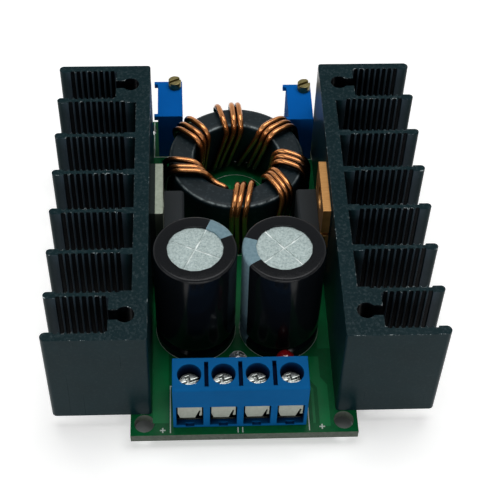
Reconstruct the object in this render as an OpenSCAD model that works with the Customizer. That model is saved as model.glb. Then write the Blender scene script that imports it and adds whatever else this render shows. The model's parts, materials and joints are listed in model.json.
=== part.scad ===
// Power converter module: a green board with two finned heatsinks, a wound ring inductor,
// two capacitors, a four way screw terminal, two trimmers and two lamps.
// X runs to the right, Y to the back, Z up. The origin is under the middle of the board,
// on the plane that the solder joints stand on.

/* [Board] */
// Thickness of the board
board_t = 1.6; // [1.2:0.1:2.4]
// Width of board under each heatsink
sink_seat = 3.2; // [3:0.05:6]
// Strip of board behind the trimmers
rear_margin = 0; // [0:0.1:4]
// Diameter of the corner mounting holes
hole_d = 3.0; // [2.4:0.1:3.4]
// Corner holes, distance in from the long edges
hole_inset_x = 2.1; // [2:0.1:4]
// Corner holes, distance in from the short edges
hole_inset_y = 2.1; // [2:0.1:4]
// Height of the solder joints under the board
stub_h = 1.9; // [1.7:0.1:3]
// Play of a lead in its drilled hole, on the radius
drill_play = 0.15; // [0.1:0.05:0.3]

/* [Heatsinks] */
// Length along the board
sink_l = 55; // [50:0.5:70]
// Depth from inner face to fin tips
sink_depth = 15; // [12:0.5:20]
// Height of the extrusion
sink_h = 20; // [18:0.5:30]
// Thickness of the wall that carries the fins
sink_wall = 2.3; // [1.8:0.1:3]
// Number of fins
fin_count = 8; // [5:1:10]
// Thickness of the inner fins
fin_t = 1.2; // [1:0.05:1.6]
// Thickness of the two end fins
end_fin_t = 1.5; // [1.2:0.05:2]
// Spacing from an end fin to the next one
end_cell = 7.2; // [6:0.1:8]
// Width of one groove in the side of a fin
groove_pitch = 0.94; // [0.7:0.02:1.4]
// Depth of a groove
groove_deep = 0.28; // [0.1:0.01:0.3]
// Number of grooves on one side of a fin
groove_count = 10; // [4:1:10]
// Grooves end this far short of the fin tip
groove_tip = 1.8; // [1.2:0.1:3]
// Reach of the screw channel boss from the inner face
boss_reach = 5.6; // [5.4:0.1:7]
// Diameter of the screw channel
channel_d = 2.7; // [2:0.1:3]
// Screw channel centre from the inner face
channel_in = 3.2; // [2.6:0.1:3.6]
// Width of the mouth of the screw channel
channel_mouth = 1.7; // [1:0.1:2]
// Room between a heatsink and the corner holes
sink_hole_gap = 0.1; // [0.05:0.05:1]
// Room between a heatsink and the inductor winding
sink_room = 1.6; // [1:0.05:4]

/* [Tab devices] */
// Height of the tab's top edge above the board
tab_top = 19; // [17:0.1:22]
// Height of the whole device without its leads
device_h = 15.6; // [14.5:0.1:16.5]
// Width of the metal tab
tab_w = 10.2; // [9.6:0.1:11]
// Thickness of the metal tab
tab_t = 1.2; // [1:0.05:1.6]
// Diameter of the hole in the tab
tab_hole_d = 3.6; // [3:0.1:4]
// Hole centre below the tab's top edge
tab_hole_down = 2.8; // [2.4:0.1:3]
// Height of the moulded body
body_h = 9.1; // [8.5:0.1:9.5]
// Thickness of the moulded body in front of the tab
body_t = 3.2; // [2.6:0.1:3.6]
// Thickness of the pad behind the left hand tab
diode_pad_t = 0.9; // [0.2:0.05:1.2]
// Thickness of the pad behind the right hand tab
regulator_pad_t = 0.2; // [0.15:0.05:1.2]
// Lead width along the row
lead_w = 0.8; // [0.6:0.05:1]
// Lead thickness
lead_t = 0.5; // [0.4:0.05:0.7]
// Spacing of the five regulator leads
regulator_pitch = 1.7; // [1.6:0.05:2]
// Spacing of the three diode leads
diode_pitch = 2.54; // [2.2:0.02:3]
// Room between the capacitors and the tab devices
device_gap = 1.8; // [1:0.05:5]

/* [Inductor] */
// Outer diameter of the ring core
core_d = 22.6; // [20:0.1:28]
// Diameter of the hole in the ring core
core_hole_d = 14; // [12:0.1:16]
// Height of the ring core
core_h = 9.5; // [7:0.1:12]
// Rounding of the ring core's edges
core_round = 0.9; // [0.4:0.1:1.5]
// Height of the ring core above the board
core_lift = 1.2; // [1.15:0.05:3]
// Diameter of one winding strand
wire_d = 1.0; // [0.7:0.05:1.05]
// Play between the strands and the core
wire_play = 0.05; // [0.05:0.01:0.1]
// Play between two strands that lie side by side
strand_play = 0.12; // [0.1:0.01:0.2]
// Room between the winding and its neighbours
winding_room = 0.15; // [0.1:0.05:1]
// Sideways offset of the inductor from the middle
core_x = 0.1; // [-0.5:0.1:0.5]

/* [Capacitors] */
// Diameter over the sleeve
cap_d = 12.5; // [10:0.1:13]
// Height over the sleeve
cap_h = 20.5; // [16:0.5:30]
// Thickness of the sleeve
sleeve_t = 0.3; // [0.2:0.05:0.5]
// Diameter of bare metal on top
cap_disc_d = 8.3; // [6:0.1:9]
// Gap between the two capacitors
cap_gap = 0.65; // [0.4:0.05:2]
// Sideways offset of the pair from the middle
cap_shift = -0.5; // [-0.6:0.1:0.6]
// Spacing of the two leads
cap_pitch = 5; // [3.5:0.5:6]
// Diameter of a lead
cap_lead_d = 0.8; // [0.6:0.1:0.9]

/* [Screw terminal] */
// Spacing of the positions
term_pitch = 5; // [5:0.02:5.2]
// Depth at the foot
term_depth = 7; // [6.8:0.1:9]
// Depth of the top face
term_top = 5.6; // [5.4:0.1:6]
// Height above the board
term_h = 10.3; // [10.2:0.1:13]
// Sideways offset of the block from the middle
term_shift = -0.7; // [-1.5:0.1:0.5]
// Distance of the block from the front edge of the board
term_setback = 1.3; // [0:0.1:3]
// Width of the wall between two wire openings
term_rib = 1; // [0.8:0.05:1.2]
// Diameter of the screwdriver wells
well_d = 3.5; // [3.5:0.05:3.7]
// Diameter of a screw head
term_head_d = 3.2; // [2.8:0.05:3.2]
// Diameter of a screw shank
term_shank_d = 2.5; // [2:0.1:2.5]
// Travel of a clamping leaf
leaf_travel = 1.2; // [0.8:0.1:1.4]

/* [Lamps] */
// Diameter of the lens
led_d = 3; // [2.5:0.1:3.2]
// Diameter of the flange
led_flange_d = 3.8; // [3.4:0.1:4]
// Height above the board
led_h = 5.2; // [4:0.1:6]
// Room between a lamp and its neighbours
led_gap = 0.5; // [0.2:0.02:1]
// Lead spacing of the lamps and trimmers
pin_pitch = 2.54; // [2.2:0.02:2.8]
// Place of the clear lamp across the board
led_clear_x = -0.8; // [-3:0.1:0]
// Place of the red lamp across the board
led_red_x = 6.5; // [5:0.1:8]

/* [Trimmers] */
// Width of a trimmer
trim_w = 4.83; // [4.4:0.01:5]
// Length of a trimmer
trim_l = 8.5; // [7.5:0.01:11]
// Height of a trimmer
trim_h = 10; // [8:0.1:12]
// Diameter of the adjusting screw
trim_screw_d = 2.2; // [1.8:0.1:2.3]
// Height of the screw head above the trimmer
trim_screw_up = 1.5; // [1:0.1:2]
// Room between a trimmer and its heatsink
trim_gap = 0.3; // [0.1:0.05:1]
// How far the left trimmer stands behind the right one
trim_stagger = 1.03; // [0:0.01:2]

/* [Fits] */
// Running clearance of a turning screw, on the radius
run_play = 0.05; // [0.03:0.01:0.08]

/* [Hidden] */
$fn = 48;
// Overlap of joined solids, and overshoot of a cutting solid
eps = 0.01;
cut = 1;

// Heights
board_z = stub_h;
top_z = board_z + board_t;

// Winding envelope, and the half gap between the heatsinks that clears it and the capacitors
wire_off = wire_d / 2 + wire_play;
winding_r = core_d / 2 + wire_off + wire_d / 2;
clear_r = winding_r + winding_room;
cap_reach = cap_d + cap_gap / 2 + abs(cap_shift);
half_gap = max(winding_r + sink_room, cap_reach + winding_room);
board_w = 2 * (half_gap + sink_seat);

// Places across the board
lead_off = 1;
function lead_plane(pad) = half_gap - pad - tab_t - lead_off - lead_t / 2;
device_front = half_gap - max(diode_pad_t, regulator_pad_t) - tab_t - body_t;
trim_in = half_gap - trim_gap - trim_w;
cap_xs = [cap_shift - (cap_d + cap_gap) / 2, cap_shift + (cap_d + cap_gap) / 2];
led_xs = [led_clear_x, led_red_x];
term_xs = [for (i = [0:3]) term_shift + (i - 1.5) * term_pitch];

// Places from the front edge of the board, each one following the piece before it
function chord(r, x) = sqrt(max(0, r * r - x * x));
term_front = term_setback;
led_front = term_front + term_depth + led_gap;
cap_front = led_front + led_flange_d + led_gap;
device_from = cap_front + cap_d + device_gap;
core_from = device_from + tab_w + chord(clear_r, device_front - abs(core_x));
trim_from = core_from + chord(clear_r, trim_in - abs(core_x));
board_l = trim_from + trim_stagger + trim_l + rear_margin;
sink_from = hole_inset_y + hole_d / 2 + sink_hole_gap;

// The same places in the part's own frame
y0 = -board_l / 2;
term_y = y0 + term_front;
led_y = y0 + led_front + led_flange_d / 2;
cap_y = y0 + cap_front + cap_d / 2;
device_y = y0 + device_from + tab_w / 2;
core_y = y0 + core_from;
trim_right_y = y0 + trim_from + trim_l / 2;
trim_ys = [trim_right_y + trim_stagger, trim_right_y];
sink_y = y0 + sink_from;

// Leads that are round and stand in pairs or rows: [x, y, diameter]
led_lead_d = 0.55;
trim_pin_d = 0.6;
trim_xs = [-half_gap + trim_gap + trim_w / 2, half_gap - trim_gap - trim_w / 2];
cap_leads = [for (x = cap_xs, s = [-1, 1]) [x + s * cap_pitch / 2, cap_y, cap_lead_d]];
led_leads = [for (x = led_xs, s = [-1, 1]) [x + s * pin_pitch / 2, led_y, led_lead_d]];
trim_pins = [for (side = [0, 1], s = [-1, 0, 1])
  [trim_xs[side], trim_ys[side] + s * pin_pitch, trim_pin_d]];
term_pin_w = 1;
term_pin_in = 1.5;
term_pin_y = term_y + term_top - term_pin_in;
term_pins = [for (x = term_xs) [x, term_pin_y, term_pin_w * sqrt(2)]];
lead_diag = sqrt(lead_w * lead_w + lead_t * lead_t);
regulator_leads_at =
  [for (i = [-2:2]) [lead_plane(regulator_pad_t), device_y + i * regulator_pitch, lead_diag]];
diode_leads_at =
  [for (i = [-1:1]) [-lead_plane(diode_pad_t), device_y + i * diode_pitch, lead_diag]];
single_leads = concat(cap_leads, led_leads, trim_pins, term_pins, regulator_leads_at, diode_leads_at);

// Winding: seven turns of three strands, at these angles round the ring, each leaning as it crosses the top
turn_angles = [198, 145, 92, 40, -11, -46, -86];
turn_leans = [14, 6, -1, 6, 10, 10, 8];
turns = len(turn_angles);
function turn_in(k) = turn_angles[k] + turn_leans[k] / 2;
function turn_out(k) = turn_angles[k] - turn_leans[k] / 2;
start_angle = 230;
end_angle = turn_out(turns - 1);
strand_step = wire_d + strand_play;
path_r1 = core_hole_d / 2 - wire_off;
path_r2 = core_d / 2 + wire_off;
core_z = top_z + core_lift;
path_z1 = core_z - wire_off;
path_z2 = core_z + core_h + wire_off;
path_round = core_round + wire_off;
wire_sides = 8;
corner_steps = 3;
wall_steps = 3;

// One point of a strand: radius, height and angle, moved sideways by the strand's offset
function wire_point(r, z, a, side) =
  let (b = a + side / r * 180 / PI)
  [core_x + r * cos(b), core_y + r * sin(b), z];

// A rounded corner of the loop round the core's section, as radius and height
function loop_corner(r, z, from, to) =
  [for (i = [0:corner_steps])
    let (t = from + (to - from) * i / corner_steps)
    [r + path_round * cos(t), z + path_round * sin(t)]];

// Over the top of the core, from the inside to the outside
loop_over = concat(
  loop_corner(path_r1 + path_round, path_z2 - path_round, 180, 90),
  loop_corner(path_r2 - path_round, path_z2 - path_round, 90, 0));

// Points on an upright wall of the loop, without its two ends
function loop_wall(r, from, to) =
  [for (i = [1:wall_steps - 1]) [r, from + (to - from) * i / wall_steps]];

// Down the outside, under the core and up the inside
loop_return = concat(
  [[path_r2, path_z2 - path_round]],
  loop_wall(path_r2, path_z2 - path_round, path_z1 + path_round),
  loop_corner(path_r2 - path_round, path_z1 + path_round, 0, -90),
  loop_corner(path_r1 + path_round, path_z1 + path_round, -90, -180),
  loop_wall(path_r1, path_z1 + path_round, path_z2 - path_round),
  [[path_r1, path_z2 - path_round]]);
return_last = len(loop_return) - 1;

// Length run along a part of the loop so far, over its radius: the strand turns evenly with it
function run_to(loop, i) = i == 0 ? 0
  : let (p = loop[i], q = loop[i - 1])
    run_to(loop, i - 1) + 2 * norm(p - q) / (p[0] + q[0]);

// A part of the loop between two of its points, turning from angle a to angle b over its whole length
function wire_run(loop, from, to, a, b, side) =
  [for (i = [from:to])
    wire_point(loop[i][0], loop[i][1], a + (b - a) * run_to(loop, i) / run_to(loop, len(loop) - 1), side)];
function wire_over(k, side) = wire_run(loop_over, 0, len(loop_over) - 1, turn_in(k), turn_out(k), side);
function wire_return(k, side) = wire_run(loop_return, 1, return_last - 1, turn_out(k), turn_in(k + 1), side);

// The lead in, leaning along the inner wall from its hole in the board
function wire_start(side) =
  [for (i = [0:wall_steps - 1])
    let (t = i / wall_steps)
    wire_point(path_r1, board_z + t * (path_z2 - path_round - board_z),
      start_angle + t * (turn_in(0) - start_angle), side)];

// The whole strand, from its hole inside the ring to its hole in front of the ring
function wire_path(side) = concat(
  wire_start(side),
  [for (k = [0:turns - 1])
    each concat(wire_over(k, side), k < turns - 1 ? wire_return(k, side) : [])],
  [wire_point(path_r2, board_z, end_angle, side)]);

strand_sides = [-strand_step, 0, strand_step];
strand_ends = concat(
  [for (s = strand_sides) wire_point(path_r1, board_z, start_angle, s)],
  [for (s = strand_sides) wire_point(path_r2, board_z, end_angle, s)]);
strand_joints = [
  wire_point(path_r1, 0, start_angle, 0),
  wire_point(path_r2, 0, end_angle, 0)];

// Board
lead_fn = 24;
module lead_hole(p, d) {
  translate([p[0], p[1], board_z - cut])
    cylinder(d = d + 2 * drill_play, h = board_t + 2 * cut, $fn = lead_fn);
}

module pcb() {
  color("#1d7d46")
  difference() {
    translate([-board_w / 2, y0, board_z]) cube([board_w, board_l, board_t]);
    for (sx = [-1, 1], sy = [-1, 1])
      translate([sx * (board_w / 2 - hole_inset_x), sy * (board_l / 2 - hole_inset_y), board_z - cut])
        cylinder(d = hole_d, h = board_t + 2 * cut);
    for (p = single_leads) lead_hole(p, p[2]);
    for (p = strand_ends) lead_hole(p, wire_d);
  }
}

// Solder under every lead, as flat ended cones
solder_grow = 0.36;
solder_tip_d = 0.7;
solder_gap = 0.1;
solder_d_max = regulator_pitch - solder_gap;
strand_solder_d = 2 * strand_step + wire_d + 2 * solder_grow;
module solder_joints() {
  color("#b9bdc2") {
    for (p = single_leads)
      translate([p[0], p[1], 0])
        cylinder(d1 = solder_tip_d, d2 = min(p[2] + 2 * solder_grow, solder_d_max),
          h = board_z, $fn = lead_fn);
    for (p = strand_joints)
      translate([p[0], p[1], 0])
        cylinder(d1 = strand_solder_d - 2 * solder_grow, d2 = strand_solder_d, h = board_z);
  }
}

// Heatsink: a wall with grooved fins and two screw channels, extruded upwards
cell_from = end_fin_t / 2 + end_cell;
mid_pitch = (sink_l - 2 * cell_from) / (fin_count - 3);
function fin_y(i) =
  i == 0 ? end_fin_t / 2
  : i == fin_count - 1 ? sink_l - end_fin_t / 2
  : cell_from + (i - 1) * mid_pitch;
groove_steps = 4;
tip_steps = 6;
groove_from = sink_depth - groove_tip - groove_count * groove_pitch;

// One side of a fin at half thickness h, plain or with round bottomed grooves
function fin_side(h, grooved) = grooved
  ? [for (i = [0:groove_count - 1], j = [0:groove_steps - 1])
      [groove_from + (i + j / groove_steps) * groove_pitch, h - groove_deep * sin(180 * j / groove_steps)]]
  : [[groove_from, h]];

function fin_outline(h, front, back) = concat(
  [[sink_wall / 2, -h]],
  [for (p = fin_side(h, front)) [p[0], -p[1]]],
  [for (i = [0:tip_steps])
    let (t = -90 + 180 * i / tip_steps)
    [sink_depth - h + h * cos(t), h * sin(t)]],
  let (side = fin_side(h, back)) [for (i = [len(side) - 1:-1:0]) side[i]],
  [[sink_wall / 2, h]]);

module heatsink() {
  difference() {
    union() {
      cube([sink_wall, sink_l, sink_h]);
      for (i = [0:fin_count - 1])
        let (h = (i == 0 || i == fin_count - 1 ? end_fin_t : fin_t) / 2)
        translate([0, fin_y(i), 0])
          linear_extrude(height = sink_h) polygon(fin_outline(h, i > 0, i < fin_count - 1));
      for (i = [0, fin_count - 2])
        translate([sink_wall / 2, fin_y(i), 0])
          cube([boss_reach - sink_wall / 2, fin_y(i + 1) - fin_y(i), sink_h]);
    }
    for (i = [0, fin_count - 2])
      translate([channel_in, (fin_y(i) + fin_y(i + 1)) / 2, -cut]) {
        cylinder(d = channel_d, h = sink_h + 2 * cut);
        translate([0, -channel_mouth / 2, 0]) cube([boss_reach, channel_mouth, sink_h + 2 * cut]);
      }
  }
}

module heatsink_right() {
  color("#20282b") translate([half_gap, sink_y, top_z]) heatsink();
}

module heatsink_left() {
  color("#20282b") mirror([1, 0, 0]) translate([half_gap, sink_y, top_z]) heatsink();
}

// Tab devices, drawn at the right hand heatsink and mirrored for the left
device_z = top_z + tab_top - device_h;
body_slope = 0.35;
tab_notch = 0.6;
module device_pad(pad) {
  color("#6d7276")
  translate([half_gap - pad, device_y - tab_w / 2, device_z]) cube([pad, tab_w, device_h]);
}

module device_tab(pad, shade) {
  tab_front = half_gap - pad - tab_t;
  color(shade)
  difference() {
    translate([tab_front, device_y - tab_w / 2, device_z]) cube([tab_t, tab_w, device_h]);
    translate([tab_front - cut, device_y, device_z + device_h - tab_hole_down])
      rotate([0, 90, 0]) cylinder(d = tab_hole_d, h = tab_t + 2 * cut);
    for (s = [-1, 1])
      translate([tab_front - cut, device_y + s * tab_w / 2 - tab_notch, device_z + body_h + tab_notch])
        cube([tab_t + 2 * cut, 2 * tab_notch, tab_notch]);
  }
}

module device_body(pad) {
  // side view of the moulding, its front edges drawn in towards the face
  side = [[0, 0], [body_t - body_slope, 0], [body_t, body_slope], [body_t, body_h - body_slope],
    [body_t - body_slope, body_h], [0, body_h]];
  color("#25282b")
  translate([half_gap - pad - tab_t, device_y + tab_w / 2, device_z])
    rotate([90, 0, 0]) linear_extrude(height = tab_w) mirror([1, 0]) polygon(side);
}

module device_leads(places) {
  color("#b4b6b2")
  for (p = places)
    translate([p[0] - lead_t / 2, p[1] - lead_w / 2, board_z])
      cube([lead_t, lead_w, device_z - board_z]);
}

// Inductor
module inductor_core() {
  r1 = core_hole_d / 2;
  r2 = core_d / 2;
  color("#23282a")
  translate([core_x, core_y, core_z])
    rotate_extrude($fn = 96) {
      translate([r1 + core_round, 0]) square([r2 - r1 - 2 * core_round, core_h]);
      translate([r1, core_round]) square([r2 - r1, core_h - 2 * core_round]);
      for (r = [r1 + core_round, r2 - core_round], z = [core_round, core_h - core_round])
        translate([r, z]) circle(r = core_round);
    }
}

// A round wire swept along a path, with the ring's tangent as the reference direction
function unit(v) = v / norm(v);
function wire_ring(path, i) =
  let (n = len(path) - 1)
  let (p = path[i])
  let (t = unit(path[min(i + 1, n)] - path[max(i - 1, 0)]))
  let (around = unit([core_y - p[1], p[0] - core_x, 0]))
  let (u = unit(around - (around * t) * t))
  let (w = cross(t, u))
  [for (k = [0:wire_sides - 1])
    p + wire_d / 2 * (cos(360 * k / wire_sides) * u + sin(360 * k / wire_sides) * w)];

module winding_strand(side) {
  path = wire_path(side);
  last = len(path) - 1;
  points = [for (i = [0:last]) each wire_ring(path, i)];
  ends = [[for (k = [0:wire_sides - 1]) k],
    [for (k = [wire_sides - 1:-1:0]) last * wire_sides + k]];
  sides = [for (i = [0:last - 1], k = [0:wire_sides - 1])
    let (a = i * wire_sides + k)
    let (b = i * wire_sides + (k + 1) % wire_sides)
    each [[a, a + wire_sides, b + wire_sides], [a, b + wire_sides, b]]];
  color("#b5682c") polyhedron(points = points, faces = concat(ends, sides), convexity = 10);
}

// Capacitors: the outline of the can at radius r and height h, with the bead pressed in near its foot
bead_z = 2.2;
bead_in = 0.5;
bead_half = 0.7;
seal_h = 1.5;
seal_gap = 0.2;
cap_round = 0.7;
vent_w = 0.25;
vent_deep = 0.12;
round_steps = 5;
vent_turns = [65, 40];
function can_outline(r, z1, z2, edge) = concat(
  [[0, z1], [r, z1]],
  z1 < bead_z - bead_half ? [[r, bead_z - bead_half]] : [],
  [[r - bead_in, bead_z], [r, bead_z + bead_half]],
  [for (i = [0:round_steps])
    let (t = 90 * i / round_steps)
    [r - edge + edge * cos(t), z2 - edge + edge * sin(t)]],
  [[0, z2]]);

module at_cap(side) {
  translate([cap_xs[side], cap_y, top_z]) children();
}

can_r = cap_d / 2 - sleeve_t;
can_top = cap_h - sleeve_t;
module capacitor_can(side) {
  color("#c9ced0")
  at_cap(side)
    difference() {
      rotate_extrude() polygon(can_outline(can_r, seal_h, can_top, cap_round - sleeve_t));
      for (a = [0, 90])
        rotate([0, 0, vent_turns[side] + a])
          translate([-cap_disc_d / 2 + vent_w, -vent_w / 2, can_top - vent_deep])
            cube([cap_disc_d - 2 * vent_w, vent_w, cut]);
    }
}

module capacitor_sleeve(side) {
  color("#22252b")
  at_cap(side)
    difference() {
      rotate_extrude() polygon(can_outline(cap_d / 2, 0, cap_h, cap_round));
      rotate_extrude() polygon(can_outline(can_r, -cut, can_top, cap_round - sleeve_t));
      translate([0, 0, can_top - cut]) cylinder(d = cap_disc_d, h = 2 * cut);
    }
}

module capacitor_seal(side) {
  color("#1b1c1e")
  at_cap(side)
    translate([0, 0, seal_gap]) cylinder(r = can_r - bead_in, h = seal_h - seal_gap);
}

module round_leads(places, from) {
  color("#b4b6b2")
  for (p = places)
    translate([p[0], p[1], board_z]) cylinder(d = p[2], h = from - board_z, $fn = lead_fn);
}

// Screw terminal: heights above the board
term_floor = 0.6;
window_top = 5.6;
term_wall = 0.9;
plate_t = 0.8;
term_edge = 0.3;
back_slope_h = 4;
slot_w = 0.6;
slot_l = 4.2;
slot_deep = 1.2;
notch_w = 1.3;
notch_deep = 0.4;
notch_l = 0.5;
chamber_w = term_pitch - term_rib;
chamber_l = term_top - term_wall;
well_y = term_y + term_top / 2;

module terminal_housing() {
  side = [[0, 0], [0, term_h - term_edge], [term_edge, term_h], [term_top, term_h],
    [term_depth, term_h - back_slope_h], [term_depth, 0]];
  width = 4 * term_pitch;
  color("#1b74b8")
  difference() {
    translate([term_shift - width / 2, term_y, top_z])
      rotate([90, 0, 90]) linear_extrude(height = width) polygon(side);
    for (x = term_xs) translate([x, 0, top_z]) {
      translate([-chamber_w / 2, term_y - cut, term_floor])
        cube([chamber_w, chamber_l + cut, window_top - term_floor]);
      translate([0, well_y, window_top - cut]) cylinder(d = well_d, h = term_h);
      translate([-notch_w / 2, term_y - cut, term_floor - notch_deep])
        cube([notch_w, notch_l + cut, notch_deep + cut]);
      translate([-term_pin_w / 2 - drill_play, term_pin_y - term_pin_w / 2 - drill_play, -cut])
        cube([term_pin_w + 2 * drill_play, term_pin_w + 2 * drill_play, term_floor + 2 * cut]);
    }
    for (i = [0:2])
      translate([term_xs[i] + term_pitch / 2 - slot_w / 2, well_y - slot_l / 2, top_z + term_h - slot_deep])
        cube([slot_w, slot_l, slot_deep + cut]);
  }
}

// Fixed contacts: a folded strip in each chamber, with the screw's nut plate above and a pin below
contact_play = 0.1;
contact_w = chamber_w - 2 * contact_play;
contact_front = 1;
contact_back = chamber_l - contact_play;
strip_t = 0.4;
module terminal_contacts() {
  color("#c3c5c2")
  for (x = term_xs) translate([x, term_y, top_z])
    difference() {
      union() {
        translate([-contact_w / 2, contact_front, term_floor])
          cube([contact_w, contact_back - contact_front, strip_t]);
        translate([-contact_w / 2, contact_back - strip_t, term_floor])
          cube([contact_w, strip_t, window_top - term_floor]);
        translate([-contact_w / 2, contact_front, window_top - plate_t])
          cube([contact_w, contact_back - contact_front, plate_t]);
        translate([-term_pin_w / 2, term_pin_y - term_y - term_pin_w / 2, board_z - top_z])
          cube([term_pin_w, term_pin_w, term_floor + board_t + eps]);
      }
      translate([0, term_top / 2, window_top - plate_t - cut])
        cylinder(d = term_shank_d + 2 * run_play, h = plate_t + 2 * cut);
    }
}

// Clamping leaf: a plate that the screw presses on, and a face in front of it that hangs in the wire opening
leaf_top = window_top - plate_t - contact_play;
leaf_t = 0.5;
leaf_w = contact_w - 2 * contact_play;
leaf_front = 0.35;
leaf_drop = 2.5;
leaf_cut = 0.7;
leaf_back = contact_back - strip_t - contact_play;
module terminal_leaf(i) {
  rise = leaf_top + plate_t;
  face = [[-leaf_w / 2, rise], [leaf_w / 2, rise], [leaf_w / 2, leaf_top - leaf_drop + leaf_cut],
    [leaf_w / 2 - leaf_cut, leaf_top - leaf_drop], [leaf_cut - leaf_w / 2, leaf_top - leaf_drop],
    [-leaf_w / 2, leaf_top - leaf_drop + leaf_cut]];
  color("#d0d2d0")
  translate([term_xs[i], term_y, top_z]) {
    translate([-leaf_w / 2, leaf_front, leaf_top - leaf_t]) cube([leaf_w, leaf_back - leaf_front, leaf_t]);
    translate([0, leaf_front + leaf_t, 0]) rotate([90, 0, 0]) linear_extrude(height = leaf_t) polygon(face);
  }
}

// Clamping screw: it stands on its leaf, with its head in the well
term_head_h = 1.2;
screw_slot_w = 0.6;
screw_slot_deep = 0.6;
screw_cross_l = 2.2;
screw_turn = 20;
head_from = window_top + leaf_travel + contact_play;
module terminal_screw(i) {
  foot = leaf_top + eps;
  color("#bfc2c4")
  translate([term_xs[i], well_y, top_z])
    difference() {
      union() {
        translate([0, 0, foot]) cylinder(d = term_shank_d, h = head_from - foot + eps);
        translate([0, 0, head_from]) cylinder(d = term_head_d, h = term_head_h);
      }
      translate([0, 0, head_from + term_head_h - screw_slot_deep]) rotate([0, 0, screw_turn]) {
        translate([-term_head_d / 2 - cut, -screw_slot_w / 2, 0])
          cube([term_head_d + 2 * cut, screw_slot_w, cut]);
        translate([-screw_slot_w / 2, -screw_cross_l / 2, 0]) cube([screw_slot_w, screw_cross_l, cut]);
      }
    }
}

// Lamps
flange_h = 0.9;
led_flat = 0.3;
module led_lens(x, shade) {
  color(shade)
  translate([x, led_y, top_z]) {
    difference() {
      cylinder(d = led_flange_d, h = flange_h);
      translate([-led_flange_d / 2 - cut + led_flat, -led_flange_d, -cut])
        cube([cut, 2 * led_flange_d, flange_h + 2 * cut]);
    }
    cylinder(d = led_d, h = led_h - led_d / 2);
    translate([0, 0, led_h - led_d / 2]) sphere(d = led_d);
  }
}

// Trimmers
trim_foot = 0.5;
trim_ear = 0.6;
trim_ear_l = 1.2;
trim_ear_h = 3;
trim_screw_in = 1.25;
trim_bore_deep = 6;
trim_slot_w = 0.45;
trim_slot_deep = 0.6;
trim_slot_turn = 25;
trim_neck = 0.25;
module at_trimmer(side) {
  translate([trim_xs[side], trim_ys[side], top_z]) children();
}

module trimmer_housing(side) {
  color("#1766b0")
  at_trimmer(side)
    difference() {
      union() {
        translate([trim_ear - trim_w / 2, -trim_l / 2, trim_foot])
          cube([trim_w - trim_ear, trim_l, trim_h - trim_foot]);
        for (y = [-trim_l / 2, trim_l / 2 - trim_ear_l]) {
          translate([-trim_w / 2, y, trim_h - trim_ear_h]) cube([trim_w, trim_ear_l, trim_ear_h]);
          translate([trim_ear - trim_w / 2, y, 0]) cube([trim_w - trim_ear, trim_ear_l, trim_h]);
        }
      }
      translate([trim_w / 2 - trim_screw_in, trim_l / 2 - trim_screw_in, trim_h - trim_bore_deep])
        cylinder(d = trim_screw_d - 2 * trim_neck + 2 * run_play, h = trim_bore_deep + cut);
    }
}

module trimmer_screw(side) {
  color("#b8923e")
  at_trimmer(side)
    translate([trim_w / 2 - trim_screw_in, trim_l / 2 - trim_screw_in, 0])
      difference() {
        union() {
          translate([0, 0, trim_h - trim_bore_deep + run_play])
            cylinder(d = trim_screw_d - 2 * trim_neck, h = trim_bore_deep + trim_screw_up / 2);
          translate([0, 0, trim_h + run_play]) cylinder(d = trim_screw_d, h = trim_screw_up - run_play);
        }
        rotate([0, 0, trim_slot_turn])
          translate([-trim_screw_d, -trim_slot_w / 2, trim_h + trim_screw_up - trim_slot_deep])
            cube([2 * trim_screw_d, trim_slot_w, cut]);
      }
}

// Small parts on the underside, hanging from the board
chip_w = 3.9;
chip_l = 4.9;
chip_h = 1.4;
chip_pitch = 1.27;
chip_lead_l = 1;
chip_lead_w = 0.42;
chip_lead_t = 0.25;
chip_forward = 3.2;
chip_at = [0, device_y - chip_forward];
module on_underside(p, size) {
  translate([p[0] - size[0] / 2, p[1] - size[1] / 2, board_z - size[2]]) cube(size);
}

module amplifier_chip() {
  color("#202224")
  translate([0, 0, -chip_lead_t / 2]) on_underside(chip_at, [chip_w, chip_l, chip_h - chip_lead_t / 2]);
}

module amplifier_leads() {
  color("#b4b6b2")
  for (s = [-1, 1], i = [-1.5:1.5])
    on_underside([chip_at[0] + s * (chip_w + chip_lead_l) / 2, chip_at[1] + i * chip_pitch],
      [chip_lead_l, chip_lead_w, chip_h / 2]);
}

small_regulator_off = 6;
small_regulator_size = [2.5, 4.5, 1.5];
small_regulator_at = [-small_regulator_off, chip_at[1]];
module small_regulator() {
  color("#202224") on_underside(small_regulator_at, small_regulator_size);
}

shunt_off = [2.5, -3];
shunt_size = [6.4, 3.2, 0.6];
shunt_at = [core_x + shunt_off[0], core_y + shunt_off[1]];
module shunt_resistor() {
  color("#2b2b2b") on_underside(shunt_at, shunt_size);
}

// Rows of small chips behind the shunt
chip_row_pitch = 2.6;
chip_size = [1.25, 2, 0.5];
resistor_row = 6.5;
capacitor_row = 3;
module chip_row(count, y, height) {
  for (i = [0:count - 1])
    on_underside([core_x + (i - (count - 1) / 2) * chip_row_pitch, y], [chip_size[0], chip_size[1], height]);
}

module chip_resistors() {
  color("#2b2b2b") chip_row(5, core_y + resistor_row, chip_size[2]);
}

module chip_capacitors() {
  color("#b49a78") chip_row(4, core_y + capacitor_row, 2 * chip_size[2]);
}

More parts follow.
